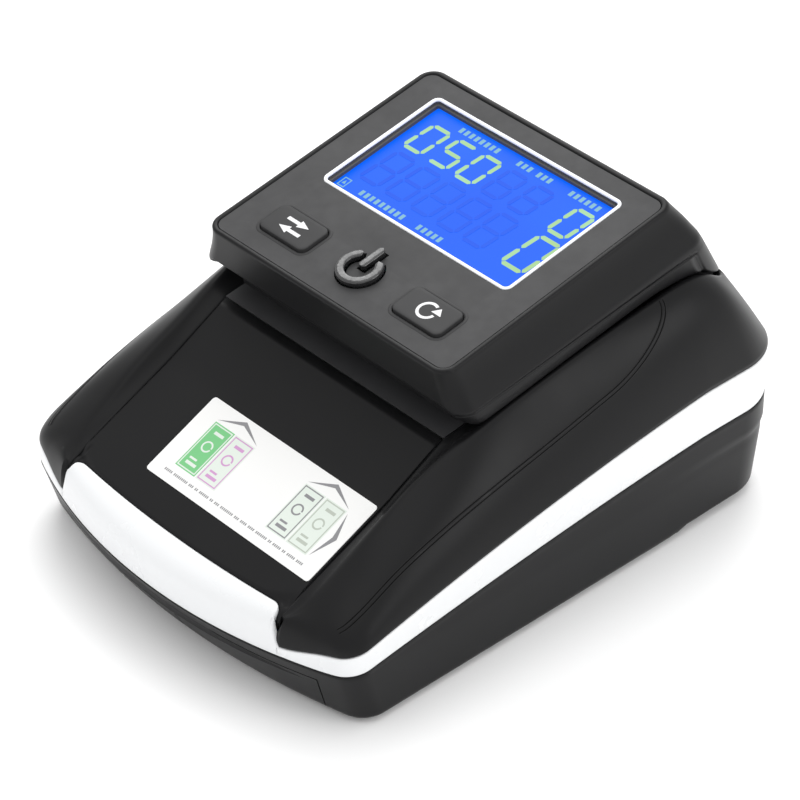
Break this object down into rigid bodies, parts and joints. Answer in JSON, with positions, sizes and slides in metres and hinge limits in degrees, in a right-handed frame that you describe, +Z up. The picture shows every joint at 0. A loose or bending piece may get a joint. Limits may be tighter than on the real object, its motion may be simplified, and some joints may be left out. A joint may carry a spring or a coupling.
{
  "type": "counterfeit bill detector",
  "caption": "Desk-top banknote detector with a sloping feed tray between two side arms, a white trim band and a flip-up display head with keys.",
  "frame": {"origin": "on the counter, under the middle of the body's outline", "axes": "+Z up, -Y towards the clerk who feeds the notes, +X to the clerk's right"},
  "size_m": [0.128, 0.173, 0.095],
  "materials": {
    "black_shell": "satin moulded ABS with a fine grain",
    "white_trim": "glossy white ABS",
    "label": "printed vinyl label",
    "fascia": "matt charcoal overlay",
    "key_black": "satin keycap with pale print",
    "power_key_gloss": "glossy black keycap",
    "display_bezel": "white bezel",
    "clear_window": "clear acrylic",
    "lcd_blue": "blue backlit LCD glass",
    "backlight_white": "white light guide",
    "circuit_board": "green solder mask",
    "component_black": "moulded component case",
    "rubber_black": "nitrile rubber",
    "bright_steel": "plated steel",
    "zinc_sheet": "zinc plated sheet",
    "grey_nylon": "dark grey nylon",
    "bronze": "sintered bronze",
    "battery_wrap": "blue shrink wrap"
  },
  "bodies": {
    "body": {"battery_pack": "battery_wrap", "buzzer": "component_black", "case_screws": "bright_steel", "data_port": "bright_steel", "dc_jack": "component_black", "drive_motor": "zinc_sheet", "feed_tray": "black_shell", "hinge_pins": "bright_steel", "left_side_plate": "zinc_sheet", "lower_sensor_board": "circuit_board", "lower_sensor_window": "clear_window", "lower_shell": "black_shell", "magnetic_sensor": "bright_steel", "main_board": "circuit_board", "motor_belt": "rubber_black", "note_guide": "grey_nylon", "right_side_plate": "zinc_sheet", "rubber_feet": "rubber_black", "shaft_bushes": "bronze", "transfer_belt": "rubber_black", "tray_label": "label", "trim_band": "white_trim", "upper_shell": "black_shell"},
    "head": {"head_shell": "black_shell", "fascia_plate": "fascia", "display_frame": "display_bezel", "display_window": "clear_window", "lcd_panel": "lcd_blue", "backlight": "backlight_white", "control_board": "circuit_board", "left_switch": "component_black", "power_switch": "component_black", "right_switch": "component_black", "head_base": "black_shell", "upper_sensor_window": "clear_window", "upper_sensor_board": "circuit_board", "head_screws": "bright_steel"},
    "left_key": {"left_key": "key_black"},
    "power_key": {"power_key": "power_key_gloss"},
    "right_key": {"right_key": "key_black"},
    "feed_axle": {"feed_shaft": "bright_steel", "feed_roller_left": "rubber_black", "feed_roller_right": "rubber_black", "feed_transfer_pulley": "grey_nylon", "shaft_pulley": "grey_nylon"},
    "exit_axle": {"exit_shaft": "bright_steel", "exit_roller_left": "rubber_black", "exit_roller_right": "rubber_black", "exit_transfer_pulley": "grey_nylon"},
    "motor_rotor": {"motor_shaft": "bright_steel", "motor_pulley": "grey_nylon"},
    "feed_pinch": {"pinch_shaft_feed": "bright_steel", "pinch_roller_feed_left": "rubber_black", "pinch_roller_feed_right": "rubber_black"},
    "exit_pinch": {"pinch_shaft_exit": "bright_steel", "pinch_roller_exit_left": "rubber_black", "pinch_roller_exit_right": "rubber_black"},
    "battery_cover": {"battery_door": "black_shell"}
  },
  "joints": [
    {"name": "head_hinge", "type": "hinge", "parent": "body", "child": "head", "pos_m": [0, 0.066, 0.067], "axis": [-1, 0, 0], "range_deg": [0, 55]},
    {"name": "left_key_press", "type": "slide", "parent": "head", "child": "left_key", "axis": [0, 0.1805, -0.9836], "range_m": [0, 0.0008], "stiffness_N_per_m": 1500, "springref_m": -0.0004},
    {"name": "power_key_press", "type": "slide", "parent": "head", "child": "power_key", "axis": [0, 0.1805, -0.9836], "range_m": [0, 0.0008], "stiffness_N_per_m": 1500, "springref_m": -0.0004},
    {"name": "right_key_press", "type": "slide", "parent": "head", "child": "right_key", "axis": [0, 0.1805, -0.9836], "range_m": [0, 0.0008], "stiffness_N_per_m": 1500, "springref_m": -0.0004},
    {"name": "motor_spin", "type": "hinge", "parent": "body", "child": "motor_rotor", "pos_m": [0, 0.01256, 0.0352], "axis": [1, 0, 0], "continuous": true},
    {"name": "feed_spin", "type": "hinge", "parent": "body", "child": "feed_axle", "pos_m": [0, -0.00606, 0.05199], "axis": [1, 0, 0], "continuous": true},
    {"name": "exit_spin", "type": "hinge", "parent": "body", "child": "exit_axle", "pos_m": [0, 0.04342, 0.05921], "axis": [1, 0, 0], "continuous": true},
    {"name": "feed_pinch_spin", "type": "hinge", "parent": "head", "child": "feed_pinch", "pos_m": [0, -0.00798, 0.06515], "axis": [1, 0, 0], "continuous": true},
    {"name": "exit_pinch_spin", "type": "hinge", "parent": "head", "child": "exit_pinch", "pos_m": [0, 0.0415, 0.07237], "axis": [1, 0, 0], "continuous": true},
    {"name": "battery_door_slide", "type": "slide", "parent": "body", "child": "battery_cover", "axis": [0, -1, 0], "range_m": [0, 0.025]}
  ],
  "couplings": [
    {"joint": "exit_spin", "follows": "feed_spin", "ratio": 1},
    {"joint": "motor_spin", "follows": "feed_spin", "ratio": 2},
    {"joint": "feed_pinch_spin", "follows": "feed_spin", "ratio": -1.6},
    {"joint": "exit_pinch_spin", "follows": "feed_spin", "ratio": -1.6}
  ]
}
